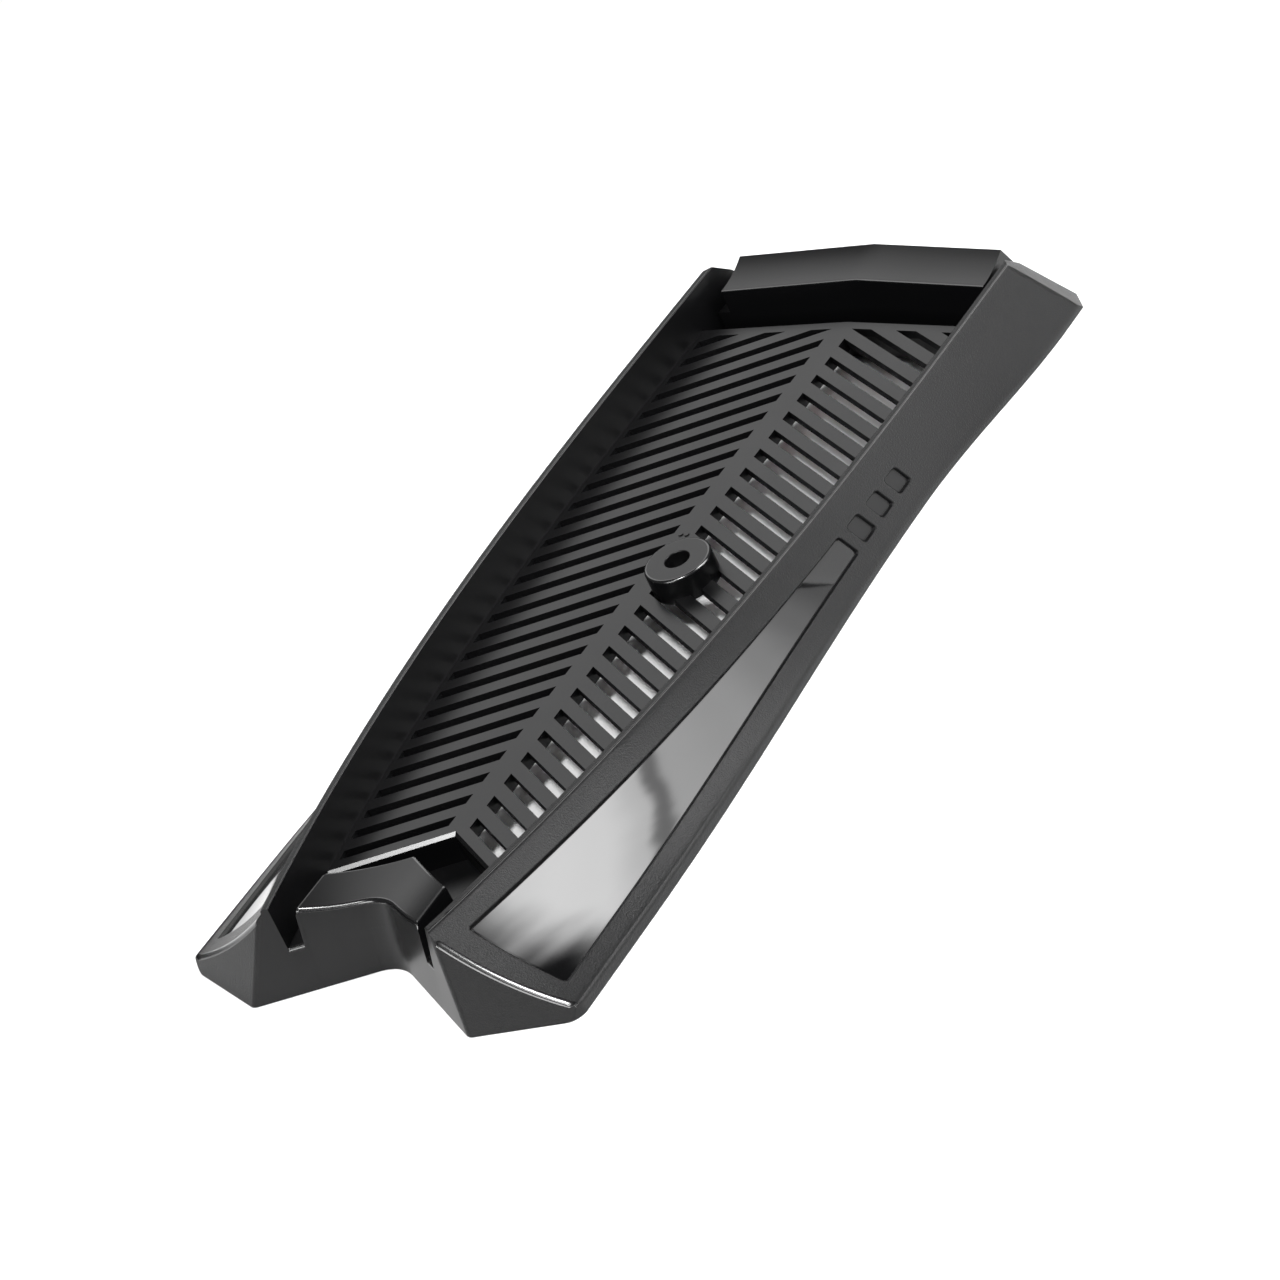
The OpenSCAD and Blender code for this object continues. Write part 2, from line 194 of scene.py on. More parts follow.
stand = {
    "length": 331,
    "rimHeight": 25.8,
    "skin": 2,
    "farHalf": 56.7,  # from the middle to the rim's outer edge at the far end
    "nearTaper": 26.7,  # how much nearer to the middle the rim is at the near end
    "curvePower": 2.75,
    "straightFar": 18.6,
    "rimStart": 12.9,
    "rimWidth": 2.2,
    "rimStep": 0.9,  # how far the wing's edge lies under the rim
    "rimSoft": 0.35,
    "draft": 1.6,
    "grilleHeight": 13.7,
    "frontSlope": 0.58, "frontLean": 0.27,  # the V front, in plan and upright
    "farSlope": 0.15, "farLean": 0.62,
    "farLip": 24.2,
    "notch": 22,
    "sharpFrom": 38,  # degrees between faces that still read as one surface
}
wing = {
    "near": 68.1, "waist": 60.8, "far": 66.8,
    "skirtNear": 3.4, "skirtFar": 1.8,
    "sagNear": 2.1, "sagFar": 0.9,
    "brow": 0.9,  # roll where the slope meets the skirt
    "lean": (-0.1, 1.05, -0.39),
    "nearFacet": ((0.293, -0.834, 0.466), 2.8, 9.5),  # its normal, and its foot in from the corner
    "farFacet": ((0.64, 0.543, 0.544), -0.4, 4),
    "cornerRadius": 6,
    "footRoll": 1.1,  # radius where the near facet meets the sloping top
    "nearRidge": 3.0, "farRidge": 1.2,  # how roundly the faceted ends meet the end faces
    "start": -175, "end": 200,  # lofted past both ends and then cut back
}

nearEnd = -stand["length"] / 2
farEnd = stand["length"] / 2
frontY = nearEnd + stand["notch"]
lipY = farEnd - stand["farLean"] * stand["farLip"]
curveEnd = lipY - stand["straightFar"]
curveSpan = curveEnd - nearEnd - stand["rimStart"]
wideNearY = nearEnd + 0.1375 * stand["length"]
waistY = nearEnd + 0.64 * stand["length"]
wideFarY = nearEnd + 0.8837 * stand["length"]
wingEdge = stand["rimHeight"] - stand["rimStep"]
midRoll = 0.29  # share of a radius that is left at 45 degrees


def ease(a, b, y):
    return (1 - math.cos(math.pi * min(1, max(0, (y - a) / (b - a))))) / 2


def rimX(y):
    return stand["farHalf"] - stand["nearTaper"] * (max(0, curveEnd - y) / curveSpan) ** stand["curvePower"]


def wallTopX(y):
    return rimX(y) - stand["rimWidth"]


def wallLowX(y):
    return wallTopX(y) - stand["draft"]


def wingX(y):
    return (wing["near"] + (wing["waist"] - wing["near"]) * ease(wideNearY, waistY, y)
            + (wing["far"] - wing["waist"]) * ease(waistY, wideFarY, y))


def skirtZ(y):
    return wing["skirtNear"] + (wing["skirtFar"] - wing["skirtNear"]) * ease(nearEnd, waistY, y)


def sag(y):
    return wing["sagNear"] + (wing["sagFar"] - wing["sagNear"]) * ease(nearEnd, waistY, y)


def lean(y):
    a = min(1, max(0, (y - nearEnd) / stand["length"]))
    return wing["lean"][0] + wing["lean"][1] * a + wing["lean"][2] * a * a


def wingSpan(y):
    return wingX(y) - rimX(y)


def wingDrop(y):
    return wingEdge - skirtZ(y)


def slant(y):
    return math.hypot(1, wingDrop(y) / wingSpan(y))


def wingPoint(y, u):
    return (rimX(y) + wingSpan(y) * u, wingEdge - wingDrop(y) * u - 4 * sag(y) * u * (1 - u))


# stations lean with height, so that the ends of the wings do
def leaned(y, point):
    return (point[0], y + lean(y) * (stand["rimHeight"] - point[1]), point[1])


def makeMesh(name, points, faces, finish):
    mesh = bpy.data.meshes.new(name)
    mesh.from_pydata([Vector(p) * mm for p in points], [], faces)
    for material in finishes:
        mesh.materials.append(material)
    for face in mesh.polygons:
        face.material_index = finish
    piece = bpy.data.objects.new(name, mesh)
    scene.collection.objects.link(piece)
    return piece


def editMesh(piece, change):
    shape = bmesh.new()
    shape.from_mesh(piece.data)
    change(shape)
    shape.to_mesh(piece.data)
    shape.free()


def outwards(shape):
    bmesh.ops.recalc_face_normals(shape, faces=shape.faces)


def loftRings(name, rings, finish, rolls=()):
    count = len(rings[0])
    points = [p for ring in rings for p in ring]
    faces = []
    for r in range(len(rings) - 1):
        for i in range(count):
            j = (i + 1) % count
            faces.append((r * count + i, r * count + j, (r + 1) * count + j, (r + 1) * count + i))
    faces.append(tuple(range(count))[::-1])
    faces.append(tuple(range((len(rings) - 1) * count, len(rings) * count)))
    piece = makeMesh(name, points, faces, finish)
    for face in piece.data.polygons:
        if len(face.vertices) == 4 and tuple(sorted({v % count for v in face.vertices})) in rolls:
            face.material_index = radiused
    editMesh(piece, outwards)
    return piece


def prism(name, outline, lowZ, highZ, finish):
    return loftRings(name, [[(x, y, z) for x, y in outline] for z in (lowZ, highZ)], finish)


def cutAway(piece, point, normal, finish):
    def change(shape):
        everything = shape.verts[:] + shape.edges[:] + shape.faces[:]
        cut = bmesh.ops.bisect_plane(shape, geom=everything, dist=1e-7, plane_co=Vector(point) * mm,
                                     plane_no=Vector(normal).normalized(), clear_outer=True)
        rim = [e for e in cut["geom_cut"] if isinstance(e, bmesh.types.BMEdge) and e.is_boundary]
        if rim:
            for face in bmesh.ops.edgenet_fill(shape, edges=rim)["faces"]:
                face.material_index = finish
            outwards(shape)
    editMesh(piece, change)


def applyModifiers(piece):
    bpy.context.view_layer.update()
    ready = bpy.context.evaluated_depsgraph_get()
    mesh = bpy.data.meshes.new_from_object(piece.evaluated_get(ready), depsgraph=ready)
    piece.modifiers.clear()
    old = piece.data
    piece.data = mesh
    bpy.data.meshes.remove(old)


def combine(piece, others, operation):
    for other in others:
        step = piece.modifiers.new("join", "BOOLEAN")
        step.operation = operation
        step.solver = "MANIFOLD"
        step.object = other
        applyModifiers(piece)
        bpy.data.objects.remove(other)


def shadeByAngle(piece, degrees):
    limit = math.radians(degrees)

    def change(shape):
        for face in shape.faces:
            face.smooth = True
        for edge in shape.edges:
            edge.smooth = edge.is_manifold and edge.calc_face_angle(0) < limit
    editMesh(piece, change)
    # broad flat faces keep their own normal and the small rolled edges take the turn
    level = piece.modifiers.new("flatFaces", "WEIGHTED_NORMAL")
    level.mode = "FACE_AREA"
    level.keep_sharp = True
    level.weight = 80
    applyModifiers(piece)


# Moulded recesses of the wing: one long polished panel and three small squares

recess = {
    "depth": 0.9,
    "wall": 0.35,  # mm over which the edge falls to the floor
    "corner": 1.3,
    "line": 0.6, "lineDepth": 0.4,  # the fine line round the foot of its wall
    "from": nearEnd + 18.4,
    "panel": 163.5,  # length of the long one
    "cell": 7,  # length of a small one
    "gap": 3.6,
    "cells": 3,
    "inner": (5.4, 8.6),  # border left beside the rim, at the near end and at the far end
    "outer": (7, 7.5),  # border left beside the skirt
}
panelEnd = recess["from"] + recess["panel"]
cellsEnd = panelEnd + recess["cells"] * (recess["cell"] + recess["gap"])
recessSpans = [(recess["from"], panelEnd)]
for cell in range(recess["cells"]):
    start = panelEnd + recess["gap"] + cell * (recess["cell"] + recess["gap"])
    recessSpans.append((start, start + recess["cell"]))


def border(y, ends):
    along = min(1, max(0, (y - recess["from"]) / (cellsEnd - recess["from"])))
    return ends[0] + (ends[1] - ends[0]) * along


def recessDistance(y, fromInner, fromOuter):
    best = outside
    for start, end in recessSpans:
        p, q, r = min(fromInner, fromOuter), min(y - start, end - y), recess["corner"]
        reach = r - math.hypot(r - p, r - q) if p < r and q < r else min(p, q)
        best = max(best, reach)
    return best


def recessDepth(y, fromInner, fromOuter):
    reach = recessDistance(y, fromInner, fromOuter)
    t = min(1, max(0, reach / recess["wall"]))
    # a fine line runs round the foot of the wall
    s = min(1, max(0, (reach - recess["wall"] / 3) / recess["line"]))
    return recess["depth"] * t * t * (3 - 2 * t) + recess["lineDepth"] * math.sin(math.pi * s) ** 2


# mm from a recess edge at which the wing is sampled
edgeSteps = [-0.5, -0.2, 0, 0.07, 0.14, 0.21, 0.28, 0.36, 0.46, 0.58, 0.72, 1.0, 1.3]
wallPoints = 8  # of the wing's profile, before its sloping top begins
outside = -9  # distance that stands for no recess near


def wingColumns(y):
    full = wingSpan(y) * slant(y)
    near, far = border(y, recess["inner"]), full - border(y, recess["outer"])
    columns = [near * k / 5 for k in range(5)]
    columns += [near + s for s in edgeSteps]
    first, last = near + edgeSteps[-1], far - edgeSteps[-1]
    columns += [first + (last - first) * k / 9 for k in range(1, 9)]
    columns += [far - s for s in reversed(edgeSteps)]
    after = far - edgeSteps[0]
    columns += [after + (full - after) * k / 5 for k in range(1, 5)]
    return [(c / full, c - near, far - c) for c in columns]


def wingProfile(y):
    soft, top, brow = stand["rimSoft"], stand["rimHeight"], wing["brow"]
    points = [(wallLowX(y), 0), (wallLowX(y), stand["grilleHeight"]), (wallTopX(y) - 0.05, top - soft),
              (wallTopX(y) + 0.1, top - 0.1), (wallTopX(y) + soft, top),
              (rimX(y) - soft, top), (rimX(y) - 0.1, top - 0.1), (rimX(y), top - soft)]
    run, fall = 1 / slant(y), wingDrop(y) / wingSpan(y) / slant(y)
    for u, fromInner, fromOuter in wingColumns(y):
        x, z = wingPoint(y, u)
        depth = recessDepth(y, fromInner, fromOuter)
        points.append((x - fall * depth, z - run * depth))
    x, z = wingX(y), skirtZ(y)
    points += [(x - brow * run, z + brow * fall), (x - 0.3 * brow * run, z + 0.3 * brow * fall - 0.06),
               (x, z - 0.35 * brow), (x, z - brow), (x, 0)]
    return points


def hollowProfile(y):
    skin = stand["skin"]
    start, end, below, steps = wallTopX(y) + skin, wingX(y) - skin, -1, 8
    points = [(wallLowX(y) + skin, below), (wallLowX(y) + skin, stand["grilleHeight"])]
    for k in range(steps + 1):
        u = (start + (end - start) * k / steps - rimX(y)) / wingSpan(y)
        x, z = wingPoint(y, u)
        points.append((x, z - skin * slant(y)))
    points.append((end, below))
    return points


def wingStations():
    stations = [wing["start"], -150] + list(range(-146, 163, 4)) + [wing["end"]]
    for start, end in recessSpans:
        stations += [start + s for s in edgeSteps] + [end - s for s in edgeSteps]
    stations.sort()
    kept = [stations[0]]
    for y in stations[1:]:
        if y - kept[-1] > 0.04:  # closer ones would only make slivers
            kept.append(y)
    return kept


def endPlanes(inset):
    nearNormal, nearIn, nearOn = wing["nearFacet"]
    farNormal, farOut, farOn = wing["farFacet"]
    faces = [
        ((0, frontY, 0), (-stand["frontSlope"], -1, stand["frontLean"])),
        ((0, farEnd, 0), (stand["farSlope"], 1, stand["farLean"])),
        ((wing["near"] - nearIn, nearEnd + nearOn, 0), nearNormal),
        ((stand["farHalf"] + farOut, curveEnd + farOn, stand["rimHeight"]), farNormal),
    ]
    return [(Vector(p) - inset * Vector(n).normalized(), Vector(n).normalized()) for p, n in faces]


def ridgePlanes(first, second, radius, steps):
    # planes that touch a roll of this radius laid along the ridge between two faces
    (p, a), (q, b) = first, second
    axis = a.cross(b).normalized()
    system = Matrix((a, b, axis))
    centre = system.inverted() @ Vector((a.dot(p) - radius, b.dot(q) - radius, axis.dot(p)))
    planes = []
    for k in range(1, steps + 1):
        normal = a.slerp(b, k / (steps + 1)).normalized()
        planes.append((centre + radius * normal, normal))
    return planes


def cornerPlanes(steps):
    # the outer near corner as seen from above, a quarter roll between foot and skirt
    radius = wing["cornerRadius"]
    (nx, ny, _), inwards, onwards = wing["nearFacet"]
    angle = math.atan2(ny, nx)
    cornerY = nearEnd + onwards + nx * inwards / -ny
    centre = Vector((wing["near"] - radius, cornerY + radius * math.tan(-angle / 2), 0))
    planes = []
    for k in range(steps + 1):
        turn = angle * k / steps
        normal = Vector((math.cos(turn), math.sin(turn), 0))
        planes.append((centre + radius * normal, normal))
    return planes


def rollFoot(shape, facetNormal):
    # rounds the edges between the near facet and the top of the wing
    ridge = []
    for edge in shape.edges:
        if len(edge.link_faces) == 2:
            onFacet = [face.normal.dot(facetNormal) > 0.9995 for face in edge.link_faces]
            onTop = [wingTop(face) for face in edge.link_faces]
            if onFacet[0] and onTop[1] or onFacet[1] and onTop[0]:
                ridge.append(edge)
    print("rolled edges", len(ridge))
    bmesh.ops.bevel(shape, geom=ridge, offset=wing["footRoll"] * mm, offset_type="OFFSET", segments=4,
                    profile=0.5, affect="EDGES", clamp_overlap=False, material=radiused)
    outwards(shape)


def wingTop(face):
    return face.normal.z > 0.4 and face.normal.x > 0.3 and face.normal.y > -0.35


def makeWing():
    stations = wingStations()
    rings = [[leaned(y, p) for p in wingProfile(y)] for y in stations]
    count = len(rings[0])
    rimRolls = [(2, 3), (3, 4), (5, 6), (6, 7)]
    shell = loftRings("wing", rings, grained, rimRolls)
    reach = []
    for y in stations:
        sides = [recessDistance(y, fromInner, fromOuter) for _, fromInner, fromOuter in wingColumns(y)]
        reach += [outside] * wallPoints + sides + [outside] * (count - wallPoints - len(sides))
    floorFrom = recess["wall"] + recess["line"] / 2
    for face in shell.data.polygons:
        if len(face.vertices) != 4:
            continue
        # the channel side of the wall is plain, the recess floors are polished or plain
        if max(v % count for v in face.vertices) < 3:
            face.material_index = smooth
        if min(reach[v] for v in face.vertices) > floorFrom:
            at = sum(stations[v // count] for v in face.vertices) / 4
            face.material_index = polished if at < panelEnd else smooth
    return shell


def makeHollow():
    steps = 40
    span = (wing["end"] - wing["start"]) / steps
    stations = [wing["start"] + span * k for k in range(steps + 1)]
    hollow = loftRings("hollow", [[leaned(y, p) for p in hollowProfile(y)] for y in stations], smooth)
    for point, normal in endPlanes(stand["skin"]):
        cutAway(hollow, point, normal, smooth)
    return hollow


# End walls. Each is lofted from the middle of the stand outwards

nearWall = {
    "half": 21.6,
    "height": 20.2,  # at the middle, where its hollow top is lowest
    "topRadius": 70,
    "low": 13.3,  # height of the stretches beside the raised part
    "lowReach": 31.5,  # they end just short of the rolled foot of the wing
    "back": -122.246,
    "backSlope": 0.6,
    "frontSkin": 1.19, "backSkin": 1.17,  # mm along y for each mm of wall, as the faces slant
    "valley": 6,  # mm over which the two front faces flow into each other
    "soft": 1.0,
}
farWall = {
    "half": 48.6,
    "front": 135.896,
    "ledge": 21.2,
    "ledgeDepth": 14.6,
    "power": 2.2,
    "low": 13.3,
    "lowReach": 56,
    "slope": 0.1,
    "backSkin": 1.18,
    "soft": 0.5,
}
hair = 0.01  # mm, a roll that is too small to show


def nearTop(x):
    return nearWall["height"] + nearWall["topRadius"] - math.sqrt(nearWall["topRadius"] ** 2 - x * x)


def nearSection(x, top, inset=0.0):
    soft = nearWall["soft"] if inset == 0 else hair
    valley = nearWall["valley"]
    across = x if x > valley else (x * x + valley * valley) / (2 * valley)
    front = frontY - stand["frontSlope"] * across + inset * nearWall["frontSkin"]
    back = nearWall["back"] - nearWall["backSlope"] * x - inset * nearWall["backSkin"]
    low = -2 if inset else 0
    lean = stand["frontLean"]
    return [(x, front + lean * low, low),
            (x, front + lean * (top - soft), top - soft),
            (x, front + lean * top + midRoll * soft, top - midRoll * soft),
            (x, front + lean * top + soft, top),
            (x, back - soft, top),
            (x, back - midRoll * soft, top - midRoll * soft),
            (x, back, top - soft),
            (x, back, low)]


def makeNearWall():
    half, soft, reach = nearWall["half"], nearWall["soft"], nearWall["lowReach"]
    rings = [nearSection(half * k / 24, nearTop(half * k / 24)) for k in range(24)]
    # the raised part's own ends are rounded over too
    ends = [(half - soft, 0.0), (half - midRoll * soft, midRoll * soft), (half, soft)]
    rings += [nearSection(x, nearTop(x) - drop) for x, drop in ends]
    rolls = [(1, 2), (2, 3), (4, 5), (5, 6)]
    raised = loftRings("nearWall", rings, smooth, rolls)
    lowRings = [nearSection(reach * k / 30, nearWall["low"]) for k in range(31)]
    combine(raised, [loftRings("nearLow", lowRings, smooth, rolls)], "UNION")
    return raised


def makeNearHollow():
    skin = stand["skin"]
    half, reach, steps = nearWall["half"] - skin, wallLowX(-128), 16
    raised = [nearSection(half * k / steps, nearTop(half * k / steps) - skin, skin)
              for k in range(steps + 1)]
    low = [nearSection(reach * k / steps, nearWall["low"] - skin, skin) for k in range(steps + 1)]
    hollow = loftRings("nearHollow", raised, smooth)
    combine(hollow, [loftRings("nearLowHollow", low, smooth)], "UNION")
    return hollow


def farSection(x, low, inset=0.0):
    front = farWall["front"] - farWall["slope"] * x + inset
    lip = lipY - farWall["slope"] * x - inset
    soft = farWall["soft"] if inset == 0 else hair
    bottom = -2 if inset else 0

    def backAt(z):
        return farEnd - stand["farSlope"] * x - stand["farLean"] * z - inset * farWall["backSkin"]

    points = [(x, front, bottom)]
    if low:
        level = farWall["low"] - inset
        points += [(x, front, level), (x, backAt(level), level)]
    else:
        ledge, top = farWall["ledge"] - inset, stand["farLip"] - inset
        points += [(x, front, ledge - soft), (x, front + midRoll * soft, ledge - midRoll * soft)]
        rolled = soft / farWall["ledgeDepth"]
        for k in range(17):
            u = rolled + (1 - rolled) * k / 16
            points.append((x, front + (lip - front) * u, ledge + (top - ledge) * u ** farWall["power"]))
        points.append((x, max(backAt(top), lip + 2 * hair), top))
    points.append((x, backAt(bottom), bottom))
    return points


def makeFarWall():
    half, reach, rolls = farWall["half"], farWall["lowReach"], [(1, 2), (2, 3)]
    raised = loftRings("farWall", [farSection(half * k / 12, False) for k in range(13)], smooth, rolls)
    low = loftRings("farLow", [farSection(reach * k / 12, True) for k in range(13)], smooth)
    combine(raised, [low], "UNION")
    return raised


def makeFarHollow():
    skin = stand["skin"]
    half, reach, steps = farWall["half"] - skin, wallLowX(140), 8
    raised = [farSection(half * k / steps, False, skin) for k in range(steps + 1)]
    low = [farSection(reach * k / steps, True, skin) for k in range(steps + 1)]
    hollow = loftRings("farHollow", raised, smooth)
    combine(hollow, [loftRings("farLowHollow", low, smooth)], "UNION")
    return hollow


# Grille with its chevron slots, the pockets at its ends and the ribs under its spine

grille = {
    "height": stand["grilleHeight"],
    "thickness": 2.8,  # 0.8 more than the solid model, so the table stays hidden behind the bars
    "near": -106.846,  # where its borders cross the middle
    "far": 124.496,
    "slope": 0.6,
    "farSlope": 0.07,
    "sideBorder": 2, "nearBorder": 1, "farBorder": 3.2,  # mm that no slot may reach
    "spine": 7.5,
    "spineDepth": 4.5,
    "slotWidth": 4,
    "pitch": 9,
    "firstSlot": -102.046,
    "slots": 34,
    "slotReach": 70,  # past the side wall, the slot area stops it
    "pocketFloor": 4.2,
    "edgeChamfer": 0.9,  # along the near border, which shows as a white line
    "grow": 1,  # mm that plates reach into the side walls
}


def meetWall(y, slope, grow):
    # where a line that runs outwards from the middle reaches the side wall
    x = wallLowX(y) + grow
    for _ in range(12):
        x = wallLowX(y - slope * x) + grow
    return x, y - slope * x


def bandOutline(low, lowSlope, high, highSlope, grow):
    start, end = meetWall(low, lowSlope, grow), meetWall(high, highSlope, grow)
    steps = max(1, round((end[1] - start[1]) / 4))
    side = [start]
    for k in range(1, steps):
        y = start[1] + (end[1] - start[1]) * k / steps
        side.append((wallLowX(y) + grow, y))
    return [(0, low)] + side + [end, (0, high)]


def slotTree():
    tree = bpy.data.node_groups.new("chevronSlots", "GeometryNodeTree")
    sockets = tree.interface
    sockets.new_socket("Geometry", in_out="INPUT", socket_type="NodeSocketGeometry")
    sockets.new_socket("Slots", in_out="INPUT", socket_type="NodeSocketInt")
    for name in ("Pitch", "First slot", "Slot width", "Spine width", "Slope", "Reach", "Level", "Depth"):
        sockets.new_socket(name, in_out="INPUT", socket_type="NodeSocketFloat")
    sockets.new_socket("Plastic", in_out="INPUT", socket_type="NodeSocketMaterial")
    sockets.new_socket("Geometry", in_out="OUTPUT", socket_type="NodeSocketGeometry")
    given = tree.nodes.new("NodeGroupInput").outputs

    # the plate and the area that may be slotted come in as one mesh
    area = addNode(tree, "GeometryNodeInputNamedAttribute", {"data_type": "BOOLEAN"}, {"Name": "slotArea"})
    parts = addNode(tree, "GeometryNodeSeparateGeometry", {"domain": "FACE"},
                    links={"Geometry": given["Geometry"], "Selection": area.outputs["Attribute"]})

    # one point for each slot, up the spine
    start = addNode(tree, "ShaderNodeCombineXYZ", links={"Y": given["First slot"], "Z": given["Level"]})
    step = addNode(tree, "ShaderNodeCombineXYZ", links={"Y": given["Pitch"]})
    line = addNode(tree, "GeometryNodeMeshLine", {"mode": "OFFSET"},
                   links={"Count": given["Slots"], "Start Location": start.outputs["Vector"],
                          "Offset": step.outputs["Vector"]})

    # a bar as cutter, moved out until its end meets the side of the spine
    size = addNode(tree, "ShaderNodeCombineXYZ",
                   links={"X": given["Reach"], "Y": given["Slot width"], "Z": given["Depth"]})
    cutter = addNode(tree, "GeometryNodeMeshCube", links={"Size": size.outputs["Vector"]})
    widths = addNode(tree, "ShaderNodeMath", {"operation": "ADD"})
    tree.links.new(given["Reach"], widths.inputs[0])
    tree.links.new(given["Spine width"], widths.inputs[1])
    halved = addNode(tree, "ShaderNodeMath", {"operation": "MULTIPLY"})
    tree.links.new(widths.outputs["Value"], halved.inputs[0])
    halved.inputs[1].default_value = 0.5
    aside = addNode(tree, "ShaderNodeCombineXYZ", links={"X": halved.outputs["Value"]})
    moved = addNode(tree, "GeometryNodeTransform",
                    links={"Geometry": cutter.outputs["Mesh"], "Translation": aside.outputs["Vector"]})

    # slant each cutter while its ends stay parallel to the spine
    place = addNode(tree, "GeometryNodeInputPosition")
    apart = addNode(tree, "ShaderNodeSeparateXYZ", links={"Vector": place.outputs["Position"]})
    edge = addNode(tree, "ShaderNodeMath", {"operation": "MULTIPLY_ADD"})
    tree.links.new(given["Spine width"], edge.inputs[0])
    edge.inputs[1].default_value = -0.5
    tree.links.new(apart.outputs["X"], edge.inputs[2])
    fall = addNode(tree, "ShaderNodeMath", {"operation": "MULTIPLY"})
    tree.links.new(edge.outputs["Value"], fall.inputs[0])
    tree.links.new(given["Slope"], fall.inputs[1])
    back = addNode(tree, "ShaderNodeMath", {"operation": "MULTIPLY"})
    tree.links.new(fall.outputs["Value"], back.inputs[0])
    back.inputs[1].default_value = -1.0
    shear = addNode(tree, "ShaderNodeCombineXYZ", links={"Y": back.outputs["Value"]})
    slanted = addNode(tree, "GeometryNodeSetPosition",
                      links={"Geometry": moved.outputs["Geometry"], "Offset": shear.outputs["Vector"]})

    row = addNode(tree, "GeometryNodeInstanceOnPoints",
                  links={"Points": line.outputs["Mesh"], "Instance": slanted.outputs["Geometry"]})
    real = addNode(tree, "GeometryNodeRealizeInstances", links={"Geometry": row.outputs["Instances"]})
    inside = addNode(tree, "GeometryNodeMeshBoolean", {"operation": "INTERSECT", "solver": "MANIFOLD"})
    tree.links.new(real.outputs["Geometry"], inside.inputs["Mesh 2"])
    tree.links.new(parts.outputs["Selection"], inside.inputs["Mesh 2"])
    slotted = addNode(tree, "GeometryNodeMeshBoolean", {"operation": "DIFFERENCE", "solver": "MANIFOLD"},
                      links={"Mesh 1": parts.outputs["Inverted"], "Mesh 2": inside.outputs["Mesh"]})
    finish = addNode(tree, "GeometryNodeSetMaterial",
                     links={"Geometry": slotted.outputs["Mesh"], "Material": given["Plastic"]})
    result = tree.nodes.new("NodeGroupOutput")
    tree.links.new(finish.outputs["Geometry"], result.inputs["Geometry"])
    return tree


def makeGrille():
    low, high = grille["height"] - grille["thickness"], grille["height"]
    plate = prism("grille", bandOutline(grille["near"], grille["slope"], grille["far"], grille["farSlope"],
                                        grille["grow"]), low, high, smooth)
    openArea = bandOutline(grille["near"] + grille["nearBorder"], grille["slope"],
                           grille["far"] - grille["farBorder"], grille["farSlope"], -grille["sideBorder"])
    over = 3  # mm above and below the plate
    area = prism("slotArea", openArea, low - over, high + over, smooth)
    plateFaces = len(plate.data.polygons)

    def change(shape):
        shape.from_mesh(area.data)
    editMesh(plate, change)
    bpy.data.objects.remove(area)
    flags = plate.data.attributes.new("slotArea", "BOOLEAN", "FACE")
    flags.data.foreach_set("value", [k >= plateFaces for k in range(len(plate.data.polygons))])

    tree = slotTree()
    values = {
        "Slots": grille["slots"], "Pitch": grille["pitch"] * mm, "First slot": grille["firstSlot"] * mm,
        "Slot width": grille["slotWidth"] * mm, "Spine width": grille["spine"] * mm,
        "Slope": grille["slope"], "Reach": grille["slotReach"] * mm,
        "Level": (low + high) / 2 * mm, "Depth": 3 * grille["thickness"] * mm,
        "Plastic": finishes[smooth],
    }
    nodes = plate.modifiers.new("slots", "NODES")
    nodes.node_group = tree
    for item in tree.interface.items_tree:
        if item.in_out == "INPUT" and item.name in values:
            nodes[item.identifier] = values[item.name]
    applyModifiers(plate)
    print("grille", len(plate.data.polygons), "faces")
    plate.data.materials.clear()
    for material in finishes:
        plate.data.materials.append(material)
    for face in plate.data.polygons:
        face.material_index = smooth if face.normal.z > 0.5 else core
    nearSide, level = Vector((-grille["slope"], -1, 0)).normalized(), Vector((0, 0, 1))
    cutAway(plate, (0, grille["near"], high - grille["edgeChamfer"]), nearSide + level, radiused)
    return plate


def makeUnderparts():
    skin, floor, overlap = stand["skin"], grille["pocketFloor"], 0.5
    low, top = floor - skin, grille["height"] - grille["edgeChamfer"] - 0.1
    back, slope = nearWall["back"], nearWall["backSlope"]
    far, front = grille["far"], farWall["front"]
    # near edge and its slope, far edge and its slope, underside, top
    bands = [
        (back - skin, slope, grille["near"] + skin, grille["slope"], low, floor),
        (grille["near"] + hair, grille["slope"], grille["near"] + skin, grille["slope"], low, top),
        (far - skin, grille["farSlope"], front + skin, farWall["slope"], low, floor),
        (far - skin, grille["farSlope"], far - hair, grille["farSlope"], low, top),
    ]
    made = []
    for near, nearSlope, end, endSlope, bottom, level in bands:
        outline = bandOutline(near, nearSlope, end, endSlope, grille["grow"])
        made.append(prism("band", outline, bottom, level, smooth))
    half, start, end = grille["spine"] / 2, grille["near"] + overlap, far - overlap
    rib = [(half - skin, start), (half, start), (half, end), (half - skin, end)]
    made.append(prism("rib", rib, grille["height"] - grille["spineDepth"],
                      grille["height"] - overlap, smooth))
    return made


# Boss that the console's screw goes through

boss = {
    "centre": (11.8, 2.984),
    "radius": 10.3,
    "bore": 3.75,  # radius that clears the screw
    "bottom": 11.7,
    "top": 20.1,
    "round": 0.9,
    "boreEdge": 0.35,
    "sides": 128,
}
gateMarks = {"apart": 2.2, "y": 21.484, "radius": 0.8, "height": 0.3}


